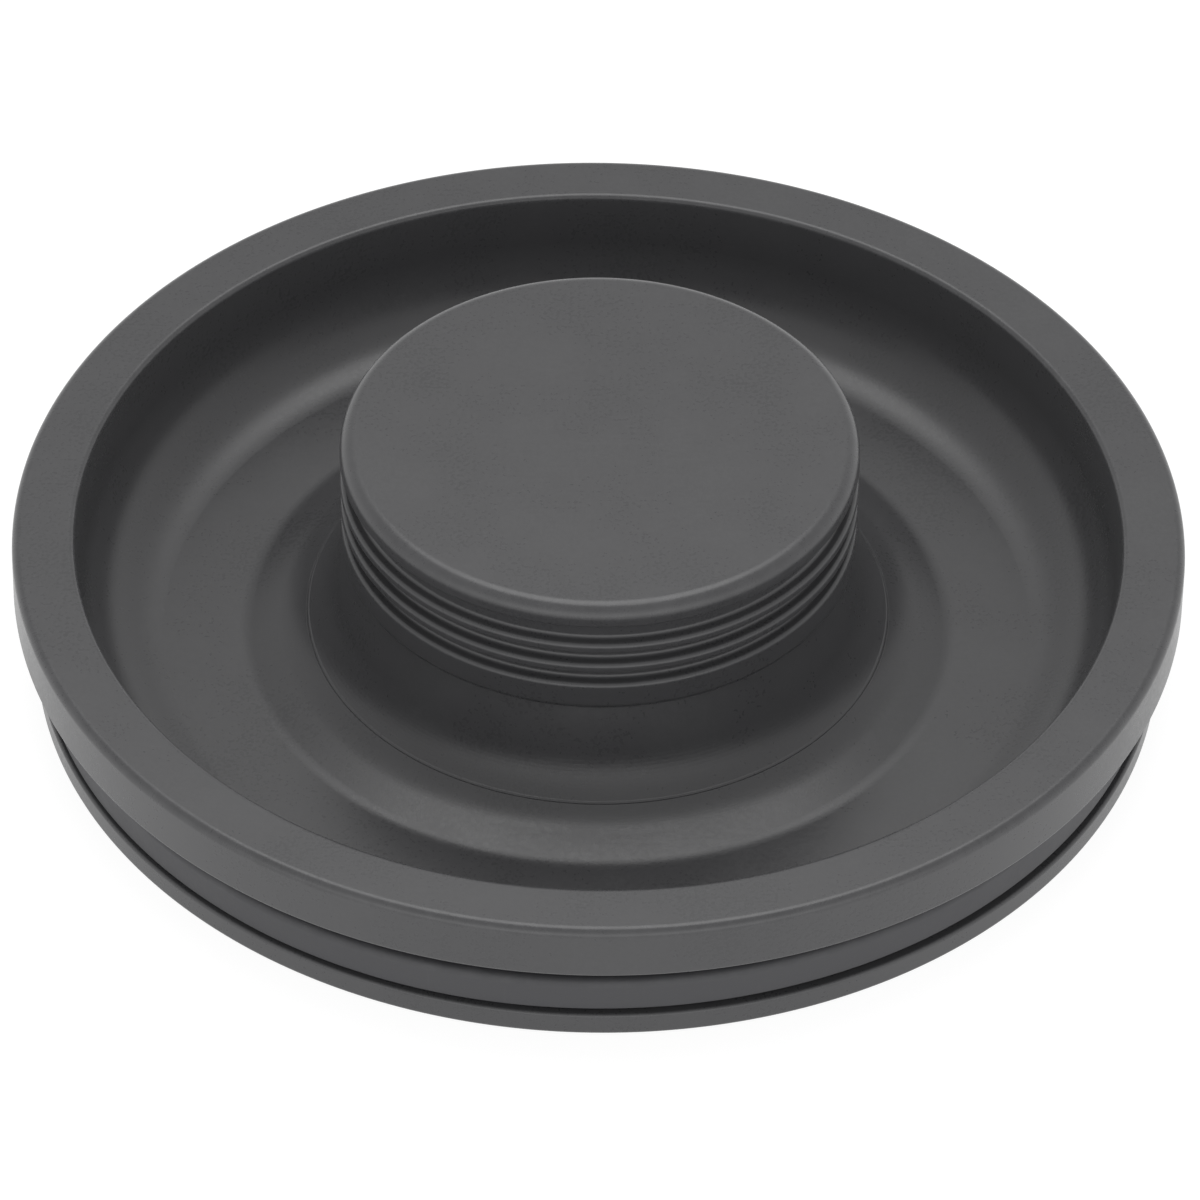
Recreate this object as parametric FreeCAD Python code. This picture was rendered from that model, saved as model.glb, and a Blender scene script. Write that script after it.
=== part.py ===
import FreeCAD, Part
import math
import os

# A garbage disposal stopper with a knob, a dished top and a rubber seal under its rim.
# Millimetres, +Z up. The origin is on the axis, in the plane of the face that it rests on.

# Heights above the resting face
knob_top = 20.0
rim_top = 11.4
flange_underside = 7.1
dish_floor = 1.8
seat_height = 2.4
seal_foot = 1.85
dish_underside = 1.0
plate_underside = 0.4

# The dish: a rim and flange round a U-shaped channel that rises to the knob
rim_radius = 43.0
rim_inner_radius = 38.45
rim_fillet = 0.65
lip_fillet = 0.45
flange_fillet = 0.25
wall_foot_radius = 37.5
outer_cove_radius = 5.9
skirt_radius = 38.8

# The channel's inner side: a gentle slope up from the floor, then the inner cove and the knob's
# sloping foot wall. The joint between knob and dish runs round the inner cove.
slope_foot_radius = 26.0
slope_foot_fillet = 3.0
slope_degrees = 17.0
foot_wall_radius = 20.4
foot_top_height = 10.2
inner_cove_radius = 6.5
joint_radius = 21.5

# The knob's grip: a top disc, narrow ridges and a bottom band, with a groove above each
grip_radius = 18.95
groove_radius = 18.05
knob_top_fillet = 1.1
disc_height = 1.75
first_groove_height = 1.6
ridge_height = 0.85
groove_height = 1.05
ridge_count = 2
band_height = 2.25
band_fillet = 0.7
ridge_top_fillet = 0.35
groove_fillet = 0.3

# Inside the knob: a cavity round a screw boss, and the groove for its O-ring
cavity_radius = 14.6
cavity_top = 17.4
cavity_fillet = 1.0
boss_radius = 4.2
boss_fillet = 0.5
o_ring_radius = 16.6
o_ring_section = 1.3
o_ring_room = 0.2

# The hub inside the knob's cavity, and the cup of the base plate inside the hub
hub_radius = 14.2
hub_top = 8.0
hub_fillet = 0.8
hub_bore_radius = 12.4
hub_ceiling = 6.2
cup_radius = 12.1
cup_bore_radius = 10.7
cup_ceiling = 5.0
cup_fillet = 0.4

# Sealing ring
seal_neck_radius = 39.7
seal_neck_fillet = 0.4
seal_foot_radius = 40.3
seal_foot_fillet = 0.15
seal_lip_radius = 41.2
seal_lip_bottom = 2.15
seal_lip_top = 4.9
lip_top_fillet = 0.6
lip_bottom_fillet = 0.2

# Base plate
base_radius = 41.5
base_top_fillet = 0.25
base_bottom_fillet = 0.3
foot_inner_radius = 36.0
foot_inner_fillet = 0.2
rib_count = 8
rib_width = 1.6
rib_underside = 0.1

# Screw and washer
screw_radius = 2.0
screw_tip = 15.0
screw_point_radius = 1.4
screw_point_height = 1.2
pilot_top = 15.6
screw_hole_radius = 2.3
screw_head_radius = 3.5
screw_head_height = 1.8
screw_head_fillet = 0.9
recess_length = 3.6
recess_width = 0.8
recess_depth = 1.1
washer_bore_radius = 2.15
washer_radius = 5.2
washer_thickness = 0.6
small_fillet = 0.1

fit_gap = 0.05    # radial clearance between pieces that nest

origin = FreeCAD.Vector(0, 0, 0)
axis = FreeCAD.Vector(0, 0, 1)

# The inner cove is tangent to the slope and to the knob's foot wall, whose lines meet at
# foot_wall_radius
slope_angle = math.radians(slope_degrees)
meeting_height = dish_floor + (slope_foot_radius - foot_wall_radius) * math.tan(slope_angle)
foot_wall_angle = math.atan2(foot_top_height - meeting_height, foot_wall_radius - groove_radius)
cove_reach = inner_cove_radius * math.tan((foot_wall_angle - slope_angle) / 2)
cove_centre_radius = (foot_wall_radius + cove_reach * math.cos(slope_angle)
                      + inner_cove_radius * math.sin(slope_angle))
cove_centre_height = (meeting_height - cove_reach * math.sin(slope_angle)
                      + inner_cove_radius * math.cos(slope_angle))


def vector(radius, height):
    return FreeCAD.Vector(radius, 0, height)


def cove_angle(radius):
    """How steep the inner cove is where it crosses a radius."""
    return math.asin((cove_centre_radius - radius) / inner_cove_radius)


def cove_point(angle):
    """Point on the inner cove where it is as steep as an angle."""
    across = inner_cove_radius * math.sin(angle)
    down = inner_cove_radius * math.cos(angle)
    return vector(cove_centre_radius - across, cove_centre_height - down)


def cove_arc(start_angle, end_angle):
    """Two corners of an outline, with the part of the inner cove that joins them."""
    start, end = cove_point(start_angle), cove_point(end_angle)
    middle = cove_point((start_angle + end_angle) / 2)
    return [(start.x, start.z, 0, middle), (end.x, end.z, 0)]


def corner_arc(before, corner, after, fillet):
    """Tangent points and middle point of an arc that rounds a corner."""
    to_before = (before - corner).normalize()
    to_after = (after - corner).normalize()
    half = to_before.getAngle(to_after) / 2
    bisector = (to_before + to_after).normalize()
    reach = fillet / math.tan(half)
    centre = corner + bisector * (fillet / math.sin(half))
    start = corner + to_before * reach
    end = corner + to_after * reach
    return start, centre - bisector * fillet, end


def outline_face(corners):
    """Face of a closed outline in the XZ plane.

    Each corner is (radius, height, fillet), with the middle point of an arc after it if the
    side that follows is an arc."""
    places = [vector(corner[0], corner[1]) for corner in corners]
    starts, ends, edges = [], [], []
    for i, corner in enumerate(corners):
        before, here, after = places[i - 1], places[i], places[(i + 1) % len(places)]
        start = end = here
        if corner[2] > 0:
            start, middle, end = corner_arc(before, here, after, corner[2])
            edges.append(Part.Arc(start, middle, end).toShape())
        starts.append(start)
        ends.append(end)
    for i, end in enumerate(ends):
        start = starts[(i + 1) % len(starts)]
        if len(corners[i]) > 3:
            edges.append(Part.Arc(end, corners[i][3], start).toShape())
        elif (start - end).Length > 1e-6:
            edges.append(Part.LineSegment(end, start).toShape())
    return Part.Face(Part.Wire(Part.__sortEdges__(edges)))


def turned(corners):
    """Solid of revolution of an outline about the axis."""
    return outline_face(corners).revolve(origin, axis, 360)


def box(size_x, size_y, low, high):
    """Box centred on the axis, from one height to another."""
    return Part.makeBox(size_x, size_y, high - low, FreeCAD.Vector(-size_x / 2, -size_y / 2, low))


def groove_and_ridge(top, groove, ridge_fillet):
    """Outer side of one groove and the upper edge of the ridge below it."""
    return [
        (grip_radius, top, groove_fillet),
        (groove_radius, top, groove_fillet),
        (groove_radius, top - groove, groove_fillet),
        (grip_radius, top - groove, ridge_fillet),
    ]


def grip_corners():
    """The grip's outer side, from the top disc down to the bottom band."""
    top = knob_top - disc_height
    corners = [(grip_radius, knob_top, knob_top_fillet)]
    corners += groove_and_ridge(top, first_groove_height, ridge_top_fillet)
    top -= first_groove_height + ridge_height
    for _ in range(ridge_count):
        corners += groove_and_ridge(top, groove_height, ridge_top_fillet)
        top -= groove_height + ridge_height
    band_underside = top + ridge_height - band_height
    corners += [(grip_radius, band_underside, band_fillet), (groove_radius, foot_top_height, groove_fillet)]
    return corners


def knob():
    """Grip and flared foot in one moulding, cored out from below round a screw boss."""
    groove_inner = o_ring_radius - o_ring_section / 2 - o_ring_room
    groove_outer = o_ring_radius + o_ring_section / 2 + o_ring_room
    groove_ceiling = seat_height + o_ring_section
    corners = [(0, knob_top, 0)]
    corners += grip_corners()
    corners += cove_arc(foot_wall_angle, cove_angle(joint_radius))
    corners += [
        (joint_radius, seat_height, 0),
        (groove_outer, seat_height, 0),
        (groove_outer, groove_ceiling, 0),
        (groove_inner, groove_ceiling, 0),
        (groove_inner, seat_height, 0),
        (cavity_radius, seat_height, 0),
        (cavity_radius, cavity_top, cavity_fillet),
        (boss_radius, cavity_top, boss_fillet),
        (boss_radius, hub_top, 0),
        (screw_radius, hub_top, 0),
        (screw_radius, pilot_top, 0),
        (0, pilot_top, 0),
    ]
    return turned(corners)


def upper_dish():
    """Rim, flange, channel and the hub that stands up inside the knob."""
    bore_radius = joint_radius + fit_gap
    corners = [
        (screw_hole_radius, hub_top, 0),
        (hub_radius, hub_top, hub_fillet),
        (hub_radius, seat_height, 0),
        (bore_radius, seat_height, 0),
    ]
    corners += cove_arc(cove_angle(bore_radius), slope_angle)
    corners += [
        (slope_foot_radius, dish_floor, slope_foot_fillet),
        (wall_foot_radius, dish_floor, outer_cove_radius),
        (rim_inner_radius, rim_top, lip_fillet),
        (rim_radius, rim_top, rim_fillet),
        (rim_radius, flange_underside, flange_fillet),
        (skirt_radius, flange_underside, 0),
        (skirt_radius, dish_underside, 0),
        (hub_bore_radius, dish_underside, 0),
        (hub_bore_radius, hub_ceiling, cup_fillet),
        (screw_hole_radius, hub_ceiling, 0),
    ]
    return turned(corners)


def sealing_ring():
    """Rubber ring round the skirt: a neck against the flange and one round lip."""
    bore_radius = skirt_radius + fit_gap
    return turned([
        (bore_radius, seal_foot, 0),
        (seal_foot_radius, seal_foot, seal_foot_fillet),
        (seal_foot_radius, seal_lip_bottom, 0),
        (seal_lip_radius, seal_lip_bottom, lip_bottom_fillet),
        (seal_lip_radius, seal_lip_top, lip_top_fillet),
        (seal_neck_radius, seal_lip_top, seal_neck_fillet),
        (seal_neck_radius, flange_underside, 0),
        (bore_radius, flange_underside, 0),
    ])


def base_plate():
    """Clamping plate: a foot ring that the stopper rests on, a web with ribs and a cup for the screw."""
    socket_radius = skirt_radius + fit_gap
    plate = turned([
        (screw_hole_radius, hub_ceiling, 0),
        (cup_radius, hub_ceiling, cup_fillet),
        (cup_radius, dish_underside, 0),
        (socket_radius, dish_underside, 0),
        (socket_radius, seal_foot, 0),
        (base_radius, seal_foot, base_top_fillet),
        (base_radius, 0, base_bottom_fillet),
        (foot_inner_radius, 0, foot_inner_fillet),
        (foot_inner_radius, plate_underside, 0),
        (cup_bore_radius, plate_underside, 0),
        (cup_bore_radius, cup_ceiling, cup_fillet),
        (screw_hole_radius, cup_ceiling, 0),
    ])
    rib_length = 2 * foot_inner_radius + rib_width
    ribs = box(rib_length, rib_width, rib_underside, dish_underside)
    for i in range(1, rib_count // 2):
        rib = box(rib_length, rib_width, rib_underside, dish_underside)
        rib.rotate(origin, axis, i * 360 / rib_count)
        ribs = ribs.fuse(rib)
    centre = Part.makeCylinder(cup_bore_radius, knob_top, origin)
    return plate.fuse(ribs.cut(centre)).removeSplitter()


def screw_washer():
    """Flat washer under the screw's head, inside the cup."""
    return turned([
        (washer_bore_radius, cup_ceiling, 0),
        (washer_radius, cup_ceiling, small_fillet),
        (washer_radius, cup_ceiling - washer_thickness, small_fillet),
        (washer_bore_radius, cup_ceiling - washer_thickness, 0),
    ])


def clamp_screw():
    """Pan-head screw driven up from below, with a cross recess in its head."""
    seat = cup_ceiling - washer_thickness
    bottom = seat - screw_head_height
    screw = turned([
        (0, screw_tip, 0),
        (screw_point_radius, screw_tip, 0),
        (screw_radius, screw_tip - screw_point_height, 0),
        (screw_radius, seat, 0),
        (screw_head_radius, seat, small_fillet),
        (screw_head_radius, bottom, screw_head_fillet),
        (0, bottom, 0),
    ])
    recess = box(recess_length, recess_width, 0, bottom + recess_depth)
    recess = recess.fuse(box(recess_width, recess_length, 0, bottom + recess_depth))
    return screw.cut(recess)


def knob_o_ring():
    """Round seal squeezed between the knob's foot and its seat."""
    centre = FreeCAD.Vector(0, 0, seat_height + o_ring_section / 2)
    return Part.makeTorus(o_ring_radius, o_ring_section / 2, centre, axis)


pieces = {
    "upper_dish": upper_dish,
    "knob": knob,
    "sealing_ring": sealing_ring,
    "base_plate": base_plate,
    "knob_o_ring": knob_o_ring,
    "clamp_screw": clamp_screw,
    "screw_washer": screw_washer,
}

os.makedirs("parts", exist_ok=True)
for name, make in pieces.items():
    shape = make()
    print(name, "valid", shape.isValid(), "volume", round(shape.Volume, 1), "solids", len(shape.Solids))
    shape.exportStep(f"parts/{name}.step")
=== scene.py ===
import math

import bmesh
import bpy
from mathutils import Matrix, Vector


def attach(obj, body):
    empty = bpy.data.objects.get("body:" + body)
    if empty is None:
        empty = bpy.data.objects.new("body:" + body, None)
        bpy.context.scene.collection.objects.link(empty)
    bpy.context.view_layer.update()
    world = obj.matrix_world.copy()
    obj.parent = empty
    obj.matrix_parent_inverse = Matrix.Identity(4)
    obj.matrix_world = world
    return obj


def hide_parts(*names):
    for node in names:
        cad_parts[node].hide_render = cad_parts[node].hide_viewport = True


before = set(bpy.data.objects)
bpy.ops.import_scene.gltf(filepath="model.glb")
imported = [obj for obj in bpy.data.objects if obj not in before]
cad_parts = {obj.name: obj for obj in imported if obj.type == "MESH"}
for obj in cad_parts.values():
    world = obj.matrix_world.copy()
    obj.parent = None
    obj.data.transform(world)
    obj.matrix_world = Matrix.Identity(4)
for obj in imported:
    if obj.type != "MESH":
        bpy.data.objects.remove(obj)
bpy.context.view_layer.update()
mm = 0.001

# Heights and radii in millimetres, shared by the pieces that meet there
stopper = {
    "knobTop": 20.0, "rimTop": 11.4, "flangeUnderside": 7.1, "dishFloor": 1.8, "seatHeight": 2.4,
    "sealFoot": 1.85, "dishUnderside": 1.0, "hubTop": 8.0, "hubCeiling": 6.2, "cupCeiling": 5.0,
    "rimRadius": 43.0, "skirtRadius": 38.8, "jointRadius": 21.5, "footTop": 10.2, "grooveRadius": 18.05,
    "footWall": 20.4, "slopeFoot": 26.0, "slope": 17.0, "innerCove": 6.5, "screwHole": 2.3,
}

# Fillets of hidden edges
plainEdge = 0.1
tightEdge = 0.05


# An outline runs clockwise round its section, as (radius, height, fillet, wear, loose) corners.
# wear marks an edge that gets rubbed, loose marks soft rubber that may wander.

def corner(radius, height, fillet=0.0, wear=0.0, loose=0.0):
    return {"at": Vector((radius, height)), "fillet": fillet, "wear": wear, "loose": loose}


def filletPoints(before, here, after, stepsPerTurn):
    toBefore = (before["at"] - here["at"]).normalized()
    toAfter = (after["at"] - here["at"]).normalized()
    half = toBefore.angle(toAfter) / 2
    centre = here["at"] + (toBefore + toAfter).normalized() * (here["fillet"] / math.sin(half))
    reach = here["fillet"] / math.tan(half)
    start = here["at"] + toBefore * reach - centre
    end = here["at"] + toAfter * reach - centre
    sweep = start.angle_signed(end)
    steps = max(3, round(abs(sweep) / math.tau * stepsPerTurn))
    return [centre + Matrix.Rotation(-sweep * i / steps, 2) @ start for i in range(steps + 1)]


def outlinePoints(corners, closed, longestRun=1.1, holdBack=0.05, stepsPerTurn=44):
    # Points round a rounded outline, with a holding point just before and after every corner
    stations = []
    count = len(corners)
    for i, here in enumerate(corners):
        isEnd = not closed and i in (0, count - 1)
        if here["fillet"] > 0 and not isEnd:
            places = filletPoints(corners[i - 1], here, corners[(i + 1) % count], stepsPerTurn)
        else:
            places = [here["at"]]
        stations.append([(place, here["wear"], here["loose"]) for place in places])
    points = []
    for i, station in enumerate(stations):
        points += station
        if not closed and i == count - 1:
            break
        start, end = station[-1], stations[(i + 1) % count][0]
        run = end[0] - start[0]
        if run.length < 3 * holdBack:
            continue
        hold = holdBack / run.length
        steps = max(1, math.ceil(run.length / longestRun))
        shares = [hold] + [k / steps for k in range(1, steps)] + [1 - hold]
        for share in shares:
            loose = start[2] + (end[2] - start[2]) * share
            points.append((start[0] + run * share, 0.0, loose))
    if closed:
        points.append(points[0])
    return points


def putNode(tree, kind, inputs=None, **settings):
    node = tree.nodes.new(kind)
    for name, value in settings.items():
        setattr(node, name, value)
    for name, value in (inputs or {}).items():
        if isinstance(value, bpy.types.NodeSocket):
            tree.links.new(value, node.inputs[name])
        else:
            node.inputs[name].default_value = value
    return node


def sums(tree, operation, first, second=0.0, third=0.0):
    node = putNode(tree, "ShaderNodeMath", {0: first, 1: second, 2: third}, operation=operation)
    return node.outputs[0]


def namedInputs(tree, wanted):
    for name, (kind, value) in wanted.items():
        socket = tree.interface.new_socket(name, in_out="INPUT", socket_type=kind)
        if value is not None:
            socket.default_value = value


def makeLatheTree():
    # A Geometry Nodes tree that turns an outline about the axis
    tree = bpy.data.node_groups.new("latheOutline", "GeometryNodeTree")
    namedInputs(tree, {
        "outline": ("NodeSocketGeometry", None),
        "segments": ("NodeSocketInt", 256),
        "wander height": ("NodeSocketFloat", 0.0),
        "wander radius": ("NodeSocketFloat", 0.0),
        "tilt height": ("NodeSocketFloat", 0.0),
        "tilt direction": ("NodeSocketFloat", 0.0),
        "bends": ("NodeSocketFloat", 1.0),
        "seed": ("NodeSocketFloat", 4.0),
        "finish": ("NodeSocketMaterial", None),
    })
    tree.interface.new_socket("piece", in_out="OUTPUT", socket_type="NodeSocketGeometry")
    given = putNode(tree, "NodeGroupInput").outputs
    size = putNode(tree, "GeometryNodeAttributeDomainSize", {"Geometry": given["outline"]})
    around = sums(tree, "ADD", given["segments"], 1.0)
    grid = putNode(tree, "GeometryNodeMeshGrid",
                   {"Vertices X": size.outputs["Point Count"], "Vertices Y": around})
    index = putNode(tree, "GeometryNodeInputIndex").outputs[0]
    along = sums(tree, "FLOOR", sums(tree, "DIVIDE", sums(tree, "ADD", index, 0.5), around))
    step = sums(tree, "SUBTRACT", index, sums(tree, "MULTIPLY", along, around))
    angle = sums(tree, "MULTIPLY", sums(tree, "DIVIDE", step, given["segments"]), math.tau)

    def sampled(source, kind, value="Value"):
        node = putNode(tree, "GeometryNodeSampleIndex", {"Geometry": given["outline"], "Index": along},
                       data_type=kind, domain="POINT")
        tree.links.new(source, node.inputs[value])
        return node.outputs[value]

    position = sampled(putNode(tree, "GeometryNodeInputPosition").outputs[0], "FLOAT_VECTOR")
    place = putNode(tree, "ShaderNodeSeparateXYZ", {0: position}).outputs
    marks = {}
    for name in ("wear", "loose"):
        attribute = putNode(tree, "GeometryNodeInputNamedAttribute", {"Name": name}, data_type="FLOAT")
        marks[name] = sampled(attribute.outputs["Attribute"], "FLOAT")

    # Noise read round a circle closes on itself, so the wander has no step
    cosine, sine = sums(tree, "COSINE", angle), sums(tree, "SINE", angle)

    def wander(offset, amount):
        shifted = sums(tree, "ADD", given["seed"], offset)
        ring = putNode(tree, "ShaderNodeCombineXYZ", {0: cosine, 1: sine, 2: shifted})
        noise = putNode(tree, "ShaderNodeTexNoise",
                        {"Vector": ring.outputs[0], "Scale": given["bends"], "Detail": 1.5})
        centred = sums(tree, "MULTIPLY", sums(tree, "SUBTRACT", noise.outputs["Fac"], 0.5), 2.0)
        return sums(tree, "MULTIPLY", sums(tree, "MULTIPLY", centred, amount), marks["loose"])

    tilt = sums(tree, "COSINE", sums(tree, "SUBTRACT", angle, given["tilt direction"]))
    tilt = sums(tree, "MULTIPLY", sums(tree, "MULTIPLY", tilt, given["tilt height"]), marks["loose"])
    radius = sums(tree, "ADD", place["X"], wander(7.0, given["wander radius"]))
    height = sums(tree, "ADD", sums(tree, "ADD", place["Z"], wander(0.0, given["wander height"])), tilt)
    across, deep = sums(tree, "MULTIPLY", radius, cosine), sums(tree, "MULTIPLY", radius, sine)
    turned = putNode(tree, "ShaderNodeCombineXYZ", {0: across, 1: deep, 2: height})
    moved = putNode(tree, "GeometryNodeSetPosition",
                    {"Geometry": grid.outputs["Mesh"], "Position": turned.outputs[0]})
    kept = putNode(tree, "GeometryNodeStoreNamedAttribute",
                   {"Geometry": moved.outputs[0], "Name": "wear", "Value": marks["wear"]},
                   data_type="FLOAT", domain="POINT")
    merged = putNode(tree, "GeometryNodeMergeByDistance", {"Geometry": kept.outputs[0], "Distance": 2e-7})
    smooth = putNode(tree, "GeometryNodeSetShadeSmooth", {"Geometry": merged.outputs[0]})
    real = putNode(tree, "GeometryNodeRealizeInstances", {"Geometry": smooth.outputs[0]})
    painted = putNode(tree, "GeometryNodeSetMaterial",
                      {"Geometry": real.outputs[0], "Material": given["finish"]})
    putNode(tree, "NodeGroupOutput", {"piece": painted.outputs[0]})
    return tree


def runTree(name, source, tree, inputs):
    # Runs a tree on a mesh and gives the result as a plain mesh object
    holder = bpy.data.objects.new(name + "Source", source)
    bpy.context.scene.collection.objects.link(holder)
    modifier = holder.modifiers.new(name, "NODES")
    modifier.node_group = tree
    identifiers = {item.name: item.identifier for item in tree.interface.items_tree if item.in_out == "INPUT"}
    for key, value in inputs.items():
        modifier[identifiers[key]] = value
    holder.update_tag()
    evaluated = holder.evaluated_get(bpy.context.evaluated_depsgraph_get())
    mesh = bpy.data.meshes.new_from_object(evaluated)
    holder.modifiers.remove(modifier)
    bpy.data.objects.remove(holder)
    # The tree leaves an empty slot before the finish
    mesh.materials.clear()
    mesh.materials.append(inputs["finish"])
    mesh.polygons.foreach_set("material_index", [0] * len(mesh.polygons))
    piece = bpy.data.objects.new(name, mesh)
    mesh.name = name
    bpy.context.scene.collection.objects.link(piece)
    return piece


def outlineMesh(name, corners, closed, **spacing):
    points = outlinePoints(corners, closed, **spacing)
    mesh = bpy.data.meshes.new(name)
    places = [(place.x * mm, 0.0, place.y * mm) for place, _, _ in points]
    mesh.from_pydata(places, [(i, i + 1) for i in range(len(points) - 1)], [])
    for column, mark in ((1, "wear"), (2, "loose")):
        layer = mesh.attributes.new(mark, "FLOAT", "POINT")
        layer.data.foreach_set("value", [point[column] for point in points])
    return mesh


def coveShape():
    # The inner cove touches the channel's slope and the knob's foot wall.
    # Gives the wall's angle and the cove's centre.
    s = stopper
    slope = math.radians(s["slope"])
    meeting = Vector((s["footWall"], s["dishFloor"] + (s["slopeFoot"] - s["footWall"]) * math.tan(slope)))
    wallAngle = math.atan2(s["footTop"] - meeting.y, s["footWall"] - s["grooveRadius"])
    reach = s["innerCove"] * math.tan((wallAngle - slope) / 2)
    along, upward = Vector((math.cos(slope), -math.sin(slope))), Vector((math.sin(slope), math.cos(slope)))
    return wallAngle, meeting + along * reach + upward * s["innerCove"]


def coveAngle(radius):
    return math.asin((coveShape()[1].x - radius) / stopper["innerCove"])


def covePlace(angle):
    return coveShape()[1] - Vector((math.sin(angle), math.cos(angle))) * stopper["innerCove"]


def coveCorners(startAngle, endAngle, steps):
    places = [covePlace(startAngle + (endAngle - startAngle) * i / steps) for i in range(steps + 1)]
    return [corner(place.x, place.y) for place in places]


latheTree = makeLatheTree()


def turn(name, corners, finish, closed=True, segments=256, spacing=None, **wander):
    source = outlineMesh(name + "Outline", corners, closed, **(spacing or {}))
    inputs = {"segments": segments, "finish": finish}
    inputs.update({key.replace("_", " "): value for key, value in wander.items()})
    return runTree(name, source, latheTree, inputs)


def settle(piece, node):
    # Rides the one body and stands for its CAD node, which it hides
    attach(piece, "root")
    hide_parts(node)
    print("made", piece.name, "with", len(piece.data.polygons), "faces")


def newMaterial(name):
    material = bpy.data.materials.new(name)
    material.use_nodes = True
    tree = material.node_tree
    shader = tree.nodes["Principled BSDF"]
    coordinates = putNode(tree, "ShaderNodeTexCoord").outputs["Object"]
    return material, tree, shader, coordinates


def noise(tree, coordinates, size, detail=2.0, rough=0.5):
    # Noise whose features are about size millimetres across
    settings = {"Vector": coordinates, "Scale": 1 / (size * mm), "Detail": detail, "Roughness": rough}
    return putNode(tree, "ShaderNodeTexNoise", settings).outputs["Fac"]


def spread(tree, value, low, high, fromLow=0.3, fromHigh=0.7):
    return putNode(tree, "ShaderNodeMapRange", {"Value": value, "From Min": fromLow, "From Max": fromHigh,
                                                "To Min": low, "To Max": high}).outputs[0]


def mixColour(tree, share, first, second):
    node = putNode(tree, "ShaderNodeMix", data_type="RGBA")
    for socket, value in ((node.inputs[0], share), (node.inputs[6], first), (node.inputs[7], second)):
        if isinstance(value, bpy.types.NodeSocket):
            tree.links.new(value, socket)
        else:
            socket.default_value = value
    return node.outputs[2]


def hairScratches(tree, coordinates, turnDegrees, length, width, cut):
    # Sparse hairlines: noise stretched along one direction, kept only at its peaks
    scale = (1 / (length * mm), 1 / (width * mm), 1 / (length * mm))
    rotation = (0, 0, math.radians(turnDegrees))
    placed = putNode(tree, "ShaderNodeMapping",
                     {"Vector": coordinates, "Rotation": rotation, "Scale": scale})
    streaks = putNode(tree, "ShaderNodeTexNoise", {"Vector": placed.outputs[0], "Scale": 1.0, "Detail": 1.0})
    return spread(tree, streaks.outputs["Fac"], 0.0, 1.0, cut, cut + 0.05)


charcoalPlastic = {
    "colour": (0.050, 0.050, 0.052, 1), "shade": (0.041, 0.041, 0.043, 1), "rubbed": (0.075, 0.075, 0.078, 1),
    "roughness": (0.27, 0.33), "grain": 0.22, "grainDepth": 0.006, "mottle": 9.0, "wearPatch": 1.6,
    "wearShare": 0.25, "scratchShare": 0.03,
}
softRubber = {
    "colour": (0.044, 0.044, 0.048, 1), "shade": (0.036, 0.036, 0.039, 1), "rubbed": (0.07, 0.07, 0.072, 1),
    "roughness": (0.52, 0.64), "grain": 0.3, "grainDepth": 0.012, "mottle": 5.0, "wearPatch": 1.6,
    "wearShare": 0.3, "scratchShare": 0.08,
}

# Two sets of hairlines: direction in degrees, length and width in millimetres, and how rare they are
hairlines = ((24, 6.0, 0.09, 0.70), (-58, 4.0, 0.07, 0.72))

stainless = {
    "dull": (0.50, 0.50, 0.51, 1), "bright": (0.66, 0.66, 0.66, 1), "roughness": (0.22, 0.38), "smear": 1.2,
    "toolMark": 0.12, "markDepth": 0.004,
}


def mouldedMaterial(name, look):
    # Matt moulded surface: mottled colour, spark grain, hairlines, and edges rubbed paler
    material, tree, shader, coordinates = newMaterial(name)
    mottle = noise(tree, coordinates, look["mottle"], 4.0, 0.6)
    speckle = noise(tree, coordinates, look["grain"] * 1.4, 1.0)
    grain = noise(tree, coordinates, look["grain"], 3.0, 0.6)
    blend = sums(tree, "ADD", sums(tree, "MULTIPLY", spread(tree, mottle, 0.0, 1.0), 0.6),
                 sums(tree, "MULTIPLY", spread(tree, speckle, 0.0, 1.0), 0.4))
    colour = mixColour(tree, blend, look["shade"], look["colour"])
    scratches = sums(tree, "MAXIMUM", *[hairScratches(tree, coordinates, *line) for line in hairlines])
    colour = mixColour(tree, sums(tree, "MULTIPLY", scratches, look["scratchShare"]), colour, look["rubbed"])
    wear = putNode(tree, "ShaderNodeAttribute", attribute_name="wear").outputs["Fac"]
    patches = spread(tree, noise(tree, coordinates, look["wearPatch"], 4.0, 0.65), 0.0, 1.0, 0.42, 0.66)
    rubbed = sums(tree, "MULTIPLY", sums(tree, "MULTIPLY", wear, patches), look["wearShare"])
    colour = mixColour(tree, rubbed, colour, look["rubbed"])
    tree.links.new(colour, shader.inputs["Base Color"])
    low, high = look["roughness"]
    roughness = sums(tree, "ADD", spread(tree, mottle, low, high), sums(tree, "MULTIPLY", rubbed, -0.08))
    specks = sums(tree, "MULTIPLY", spread(tree, speckle, -0.5, 0.5), 0.06)
    tree.links.new(sums(tree, "ADD", roughness, specks), shader.inputs["Roughness"])
    relief = sums(tree, "SUBTRACT", grain, sums(tree, "MULTIPLY", scratches, 0.2))
    bump = putNode(tree, "ShaderNodeBump",
                   {"Height": relief, "Strength": 1.0, "Distance": look["grainDepth"] * mm})
    tree.links.new(bump.outputs[0], shader.inputs["Normal"])
    shader.inputs["IOR"].default_value = 1.5
    return material


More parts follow.
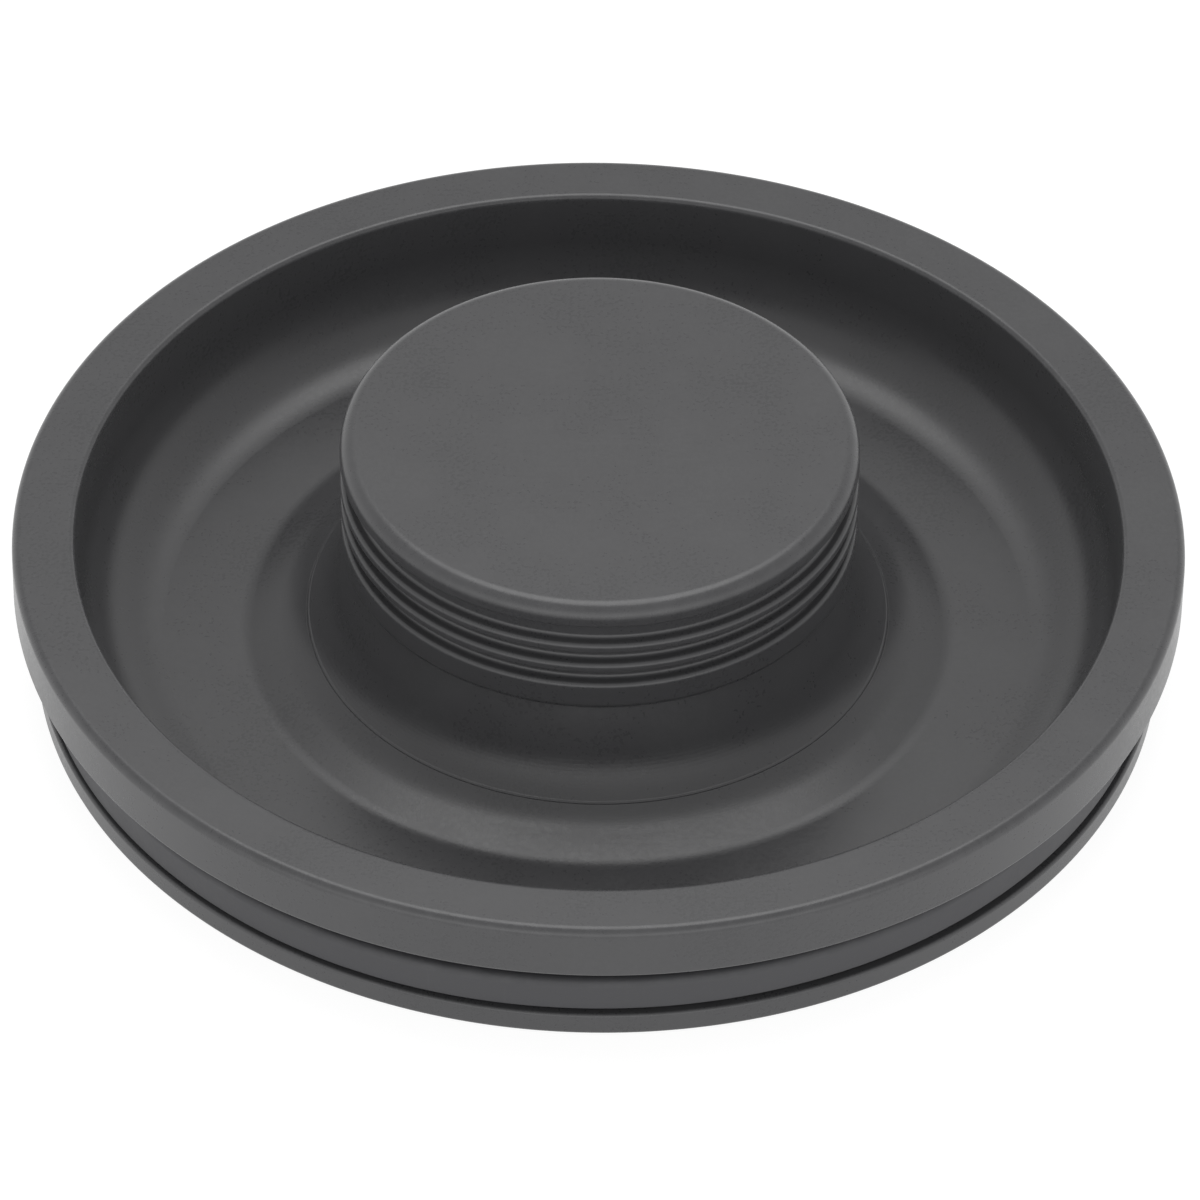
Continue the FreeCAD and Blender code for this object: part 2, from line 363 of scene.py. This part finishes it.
def steelMaterial():
    # Plain turned stainless steel for the screw and its washer
    material, tree, shader, coordinates = newMaterial("stainlessSteel")
    look = stainless
    smears = noise(tree, coordinates, look["smear"], 4.0, 0.6)
    rings = noise(tree, coordinates, look["toolMark"], 2.0)
    colour = mixColour(tree, smears, look["dull"], look["bright"])
    tree.links.new(colour, shader.inputs["Base Color"])
    tree.links.new(spread(tree, smears, *look["roughness"]), shader.inputs["Roughness"])
    bump = putNode(tree, "ShaderNodeBump",
                   {"Height": rings, "Strength": 1.0, "Distance": look["markDepth"] * mm})
    tree.links.new(bump.outputs[0], shader.inputs["Normal"])
    shader.inputs["Metallic"].default_value = 1.0
    return material


plastic = mouldedMaterial("charcoalPlastic", charcoalPlastic)
rubber = mouldedMaterial("softRubber", softRubber)
steel = steelMaterial()
print("materials ready")


# The dish: rim, flange, channel and the hub inside the knob
dish = {
    "rimInner": 38.45, "wallFoot": 37.5, "hubRadius": 14.2, "hubBore": 12.4, "jointGap": 0.01,
    "rimEdge": 0.65, "lipEdge": 0.45, "flangeEdge": 0.25, "hubEdge": 0.8, "ceilingEdge": 0.4,
    "outerCove": 5.9, "slopeFootFillet": 3.0, "coveSteps": 10, "segments": 320,
}


def makeUpperDish():
    s, d = stopper, dish
    bore = s["jointRadius"] + d["jointGap"]
    corners = [
        corner(s["screwHole"], s["hubTop"], plainEdge),
        corner(d["hubRadius"], s["hubTop"], d["hubEdge"]),
        corner(d["hubRadius"], s["seatHeight"], plainEdge),
        corner(bore, s["seatHeight"], plainEdge),
    ] + coveCorners(coveAngle(bore), math.radians(s["slope"]), d["coveSteps"]) + [
        corner(s["slopeFoot"], s["dishFloor"], d["slopeFootFillet"]),
        corner(d["wallFoot"], s["dishFloor"], d["outerCove"]),
        corner(d["rimInner"], s["rimTop"], d["lipEdge"], wear=1),
        corner(s["rimRadius"], s["rimTop"], d["rimEdge"], wear=1),
        corner(s["rimRadius"], s["flangeUnderside"], d["flangeEdge"], wear=0.6),
        corner(s["skirtRadius"], s["flangeUnderside"], plainEdge),
        corner(s["skirtRadius"], s["dishUnderside"], plainEdge),
        corner(d["hubBore"], s["dishUnderside"], plainEdge),
        corner(d["hubBore"], s["hubCeiling"], d["ceilingEdge"]),
        corner(s["screwHole"], s["hubCeiling"], plainEdge),
    ]
    return turn("upperDish", corners, plastic, segments=d["segments"])


settle(makeUpperDish(), "upper_dish")


# The knob: ribbed grip, cored out round its screw boss
grip = {
    "radius": 18.95, "discHeight": 1.75, "firstGroove": 1.6, "ridgeHeight": 0.85, "grooveHeight": 1.05,
    "ridges": 2, "underside": 10.6, "topEdge": 1.1, "grooveEdge": 0.3, "ridgeEdge": 0.35, "bandEdge": 0.7,
    "cavityRadius": 14.6, "cavityTop": 17.4, "cavityEdge": 1.0, "bossRadius": 4.2, "bossEdge": 0.5,
    "pilotRadius": 2.0, "pilotTop": 15.6, "ringRadius": 16.6, "ringSection": 1.3, "ringRoom": 0.2,
    "beadWidth": 0.12, "beadHeight": 0.03, "beadEdge": 0.03, "beadFoot": 0.06, "coveSteps": 12,
    "segments": 200,
}


def gripSide():
    s, g = stopper, grip
    corners = [corner(g["radius"], s["knobTop"], g["topEdge"], wear=0.8)]
    height, gap = s["knobTop"] - g["discHeight"], g["firstGroove"]
    for _ in range(g["ridges"] + 1):
        corners.append(corner(g["radius"], height, g["grooveEdge"], wear=0.6))
        corners.append(corner(s["grooveRadius"], height, g["grooveEdge"]))
        height -= gap
        corners.append(corner(s["grooveRadius"], height, g["grooveEdge"]))
        corners.append(corner(g["radius"], height, g["ridgeEdge"], wear=0.6))
        height -= g["ridgeHeight"]
        gap = g["grooveHeight"]
    return corners + [corner(g["radius"], g["underside"], g["bandEdge"], wear=0.5)]


def makeKnob():
    s, g = stopper, grip
    grooveIn = g["ringRadius"] - g["ringSection"] / 2 - g["ringRoom"]
    grooveOut = g["ringRadius"] + g["ringSection"] / 2 + g["ringRoom"]
    grooveTop = s["seatHeight"] + g["ringSection"]
    # A fine moulded bead stands up along the joint
    bead = s["jointRadius"] - g["beadWidth"]
    beadStart, beadEnd = covePlace(coveAngle(bead)), covePlace(coveAngle(s["jointRadius"]))
    corners = [corner(0, s["knobTop"])] + gripSide()
    corners.append(corner(s["grooveRadius"], s["footTop"], g["grooveEdge"]))
    corners += coveCorners(coveShape()[0], coveAngle(bead - g["beadFoot"]), g["coveSteps"]) + [
        corner(beadStart.x, beadStart.y + g["beadHeight"], g["beadEdge"]),
        corner(beadEnd.x, beadEnd.y + g["beadHeight"], g["beadEdge"]),
        corner(s["jointRadius"], s["seatHeight"], plainEdge),
        corner(grooveOut, s["seatHeight"], tightEdge),
        corner(grooveOut, grooveTop, plainEdge),
        corner(grooveIn, grooveTop, plainEdge),
        corner(grooveIn, s["seatHeight"], tightEdge),
        corner(g["cavityRadius"], s["seatHeight"], plainEdge),
        corner(g["cavityRadius"], g["cavityTop"], g["cavityEdge"]),
        corner(g["bossRadius"], g["cavityTop"], g["bossEdge"]),
        corner(g["bossRadius"], s["hubTop"], plainEdge),
        corner(g["pilotRadius"], s["hubTop"], plainEdge),
        corner(g["pilotRadius"], g["pilotTop"], plainEdge),
        corner(0, g["pilotTop"]),
    ]
    return turn("knobMoulding", corners, plastic, closed=False, segments=g["segments"])


settle(makeKnob(), "knob")


# The sealing ring is soft, so its lip wanders a little between flange and foot ring
seal = {
    "bore": 38.85, "footRadius": 40.3, "lipRadius": 41.2, "lipBottom": 2.15, "lipTop": 4.9,
    "neckRadius": 39.7, "neckEdge": 0.4, "lipTopEdge": 0.6, "lipBottomEdge": 0.2, "footEdge": 0.15,
    "segments": 360, "longestRun": 0.5,
    "wanderHeight": 0.06, "wanderRadius": 0.05, "tiltHeight": 0.2, "tiltDirection": 0, "bends": 1.6,
    "seed": 4.0,
}


def makeSealingRing():
    s, r = stopper, seal
    corners = [
        corner(r["bore"], s["flangeUnderside"], tightEdge),
        corner(r["neckRadius"], s["flangeUnderside"], tightEdge),
        corner(r["neckRadius"], r["lipTop"], r["neckEdge"], loose=0.7),
        corner(r["lipRadius"], r["lipTop"], r["lipTopEdge"], wear=0.7, loose=1),
        corner(r["lipRadius"], r["lipBottom"], r["lipBottomEdge"], wear=0.4, loose=1),
        corner(r["footRadius"], r["lipBottom"], plainEdge, loose=0.8),
        corner(r["footRadius"], s["sealFoot"], r["footEdge"]),
        corner(r["bore"], s["sealFoot"], tightEdge),
    ]
    return turn("sealingRing", corners, rubber, segments=r["segments"],
                spacing={"longestRun": r["longestRun"]},
                wander_height=r["wanderHeight"] * mm, wander_radius=r["wanderRadius"] * mm,
                tilt_height=r["tiltHeight"] * mm, tilt_direction=math.radians(r["tiltDirection"]),
                bends=r["bends"], seed=r["seed"])


settle(makeSealingRing(), "sealing_ring")


# The base plate: foot ring, web with ribs below it, and the cup for the screw
base = {
    "radius": 41.5, "footInner": 36.0, "webUnderside": 0.4, "ribUnderside": 0.1, "ribs": 8,
    "ribWidth": 1.6, "ribReach": 0.3, "topEdge": 0.25, "bottomEdge": 0.3, "innerEdge": 0.2, "webEdge": 0.15,
    "cupEdge": 0.4,
    "cupRadius": 12.1, "cupBore": 10.7, "socketGap": 0.05, "segments": 320,
}


def makeRibTree():
    # A Geometry Nodes tree that sets flat ribs round the axis, against the plate it is given
    tree = bpy.data.node_groups.new("plateRibs", "GeometryNodeTree")
    namedInputs(tree, {
        "plate": ("NodeSocketGeometry", None),
        "ribs": ("NodeSocketInt", 8),
        "inner radius": ("NodeSocketFloat", 0.01),
        "outer radius": ("NodeSocketFloat", 0.036),
        "width": ("NodeSocketFloat", 0.0016),
        "underside": ("NodeSocketFloat", 0.0),
        "top": ("NodeSocketFloat", 0.0007),
        "finish": ("NodeSocketMaterial", None),
    })
    tree.interface.new_socket("piece", in_out="OUTPUT", socket_type="NodeSocketGeometry")
    given = putNode(tree, "NodeGroupInput").outputs

    def between(low, high):
        middle = sums(tree, "MULTIPLY", sums(tree, "ADD", given[high], given[low]), 0.5)
        return sums(tree, "SUBTRACT", given[high], given[low]), middle

    length, midRadius = between("inner radius", "outer radius")
    height, midHeight = between("underside", "top")
    size = putNode(tree, "ShaderNodeCombineXYZ", {0: length, 1: given["width"], 2: height})
    rib = putNode(tree, "GeometryNodeMeshCube", {"Size": size.outputs[0]})
    flat = putNode(tree, "GeometryNodeSetShadeSmooth",
                   {"Geometry": rib.outputs["Mesh"], "Shade Smooth": False})
    middle = putNode(tree, "ShaderNodeCombineXYZ", {0: midRadius, 2: midHeight})
    placed = putNode(tree, "GeometryNodeTransform",
                     {"Geometry": flat.outputs[0], "Translation": middle.outputs[0]})
    points = putNode(tree, "GeometryNodePoints", {"Count": given["ribs"]})
    share = sums(tree, "DIVIDE", putNode(tree, "GeometryNodeInputIndex").outputs[0], given["ribs"])
    turned = putNode(tree, "ShaderNodeCombineXYZ", {2: sums(tree, "MULTIPLY", share, math.tau)})
    ribs = putNode(tree, "GeometryNodeInstanceOnPoints", {
        "Points": points.outputs[0], "Instance": placed.outputs[0], "Rotation": turned.outputs[0]})
    joined = putNode(tree, "GeometryNodeJoinGeometry")
    tree.links.new(ribs.outputs[0], joined.inputs[0])
    tree.links.new(given["plate"], joined.inputs[0])
    real = putNode(tree, "GeometryNodeRealizeInstances", {"Geometry": joined.outputs[0]})
    painted = putNode(tree, "GeometryNodeSetMaterial",
                      {"Geometry": real.outputs[0], "Material": given["finish"]})
    putNode(tree, "NodeGroupOutput", {"piece": painted.outputs[0]})
    return tree


def makeBasePlate():
    s, b = stopper, base
    socket = s["skirtRadius"] + b["socketGap"]
    corners = [
        corner(s["screwHole"], s["hubCeiling"], tightEdge),
        corner(b["cupRadius"], s["hubCeiling"], b["cupEdge"]),
        corner(b["cupRadius"], s["dishUnderside"], plainEdge),
        corner(socket, s["dishUnderside"], plainEdge),
        corner(socket, s["sealFoot"], plainEdge),
        corner(b["radius"], s["sealFoot"], b["topEdge"], wear=0.7),
        corner(b["radius"], 0.0, b["bottomEdge"], wear=0.7),
        corner(b["footInner"], 0.0, b["innerEdge"], wear=0.7),
        corner(b["footInner"], b["webUnderside"], b["webEdge"]),
        corner(b["cupBore"], b["webUnderside"], b["innerEdge"], wear=0.4),
        corner(b["cupBore"], s["cupCeiling"], b["cupEdge"]),
        corner(s["screwHole"], s["cupCeiling"], tightEdge),
    ]
    plain = turn("plainPlate", corners, plastic, segments=b["segments"])
    ribbed = runTree("basePlate", plain.data, makeRibTree(), {
        "ribs": b["ribs"], "inner radius": b["cupBore"] * mm,
        "outer radius": (b["footInner"] + b["ribReach"]) * mm,
        "width": b["ribWidth"] * mm, "underside": b["ribUnderside"] * mm,
        "top": (b["webUnderside"] + b["ribReach"]) * mm, "finish": plastic})
    bpy.data.objects.remove(plain)
    return ribbed


settle(makeBasePlate(), "base_plate")


view = {"distance": 0.6357, "elevation": 41.143, "dip": 0.486, "swing": -0.02, "roll": 0.85, "lens": 260.03}
studio = {
    "dome": 0.74, "horizon": 1.2, "frontLift": 0.9, "boxSize": 0.62, "boxPlace": (0.0, 0.26, 0.75),
    "boxPower": 2.5, "domeBand": (0.0, 0.6), "frontBand": (0.35, 0.9), "lowBand": (0.4, 0.8),
    "floorGlow": 0.88, "floorColour": (0.2, 0.2, 0.2, 1), "floorSize": 6.0, "floorDrop": 0.05,
}


def makeCamera():
    data = bpy.data.cameras.new("camera")
    data.sensor_width = 36
    data.lens = view["lens"]
    data.clip_end = 20
    camera = bpy.data.objects.new("camera", data)
    bpy.context.scene.collection.objects.link(camera)
    rise = math.radians(view["elevation"])
    aim = Vector((0, 0, stopper["rimTop"] * mm))
    place = aim + Vector((0, -math.cos(rise), math.sin(rise))) * view["distance"]
    look = Matrix.Rotation(math.radians(view["swing"]), 4, "Z")
    look @= Matrix.Rotation(math.radians(90 - view["elevation"] - view["dip"]), 4, "X")
    look @= Matrix.Rotation(math.radians(view["roll"]), 4, "Z")
    camera.matrix_world = Matrix.Translation(place) @ look
    bpy.context.scene.camera = camera


def makeFloor():
    half = studio["floorSize"] / 2
    mesh = bpy.data.meshes.new("floor")
    around = [(-half, -half, 0), (half, -half, 0), (half, half, 0), (-half, half, 0)]
    mesh.from_pydata(around, [], [(0, 1, 2, 3)])
    mesh.transform(Matrix.Translation((0, 0, -studio["floorDrop"] * mm)))
    material, tree, shader, coordinates = newMaterial("paleFloor")
    shader.inputs["Base Color"].default_value = studio["floorColour"]
    shader.inputs["Roughness"].default_value = 0.8
    shader.inputs["Specular IOR Level"].default_value = 0.0
    shader.inputs["Emission Color"].default_value = (1, 1, 1, 1)
    shader.inputs["Emission Strength"].default_value = studio["floorGlow"]
    mesh.materials.append(material)
    floor = bpy.data.objects.new("floor", mesh)
    bpy.context.scene.collection.objects.link(floor)


def makeLight():
    # A pale dome, brighter near the horizon and behind the camera, and a soft box above the back
    world = bpy.data.worlds.new("studio")
    bpy.context.scene.world = world
    world.use_nodes = True
    tree = world.node_tree
    direction = putNode(tree, "ShaderNodeSeparateXYZ",
                        {0: putNode(tree, "ShaderNodeTexCoord").outputs["Generated"]}).outputs
    level = spread(tree, direction["Z"], studio["horizon"], studio["dome"], *studio["domeBand"])
    front = sums(tree, "MULTIPLY", direction["Y"], -1.0)
    towardCamera = spread(tree, front, 0.0, 1.0, *studio["frontBand"])
    low = spread(tree, direction["Z"], 1.0, 0.0, *studio["lowBand"])
    lifted = sums(tree, "MULTIPLY", sums(tree, "MULTIPLY", towardCamera, low), studio["frontLift"])
    strength = sums(tree, "MULTIPLY", level, sums(tree, "ADD", lifted, 1.0))
    background = tree.nodes["Background"]
    background.inputs["Color"].default_value = (1, 1, 1, 1)
    tree.links.new(strength, background.inputs["Strength"])
    data = bpy.data.lights.new("softBox", "AREA")
    data.shape = "DISK"
    data.size = studio["boxSize"]
    data.energy = studio["boxPower"]
    box = bpy.data.objects.new("softBox", data)
    bpy.context.scene.collection.objects.link(box)
    away = Vector(studio["boxPlace"])
    box.matrix_world = Matrix.Translation(away) @ away.to_track_quat("Z", "Y").to_matrix().to_4x4()


makeCamera()
makeFloor()
makeLight()
bpy.context.scene.view_settings.view_transform = "Standard"
print("camera, floor and light ready")

for name, slotMaterial in {"knob_o_ring": rubber, "clamp_screw": steel, "screw_washer": steel}.items():
    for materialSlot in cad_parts[name].material_slots:
        materialSlot.material = slotMaterial
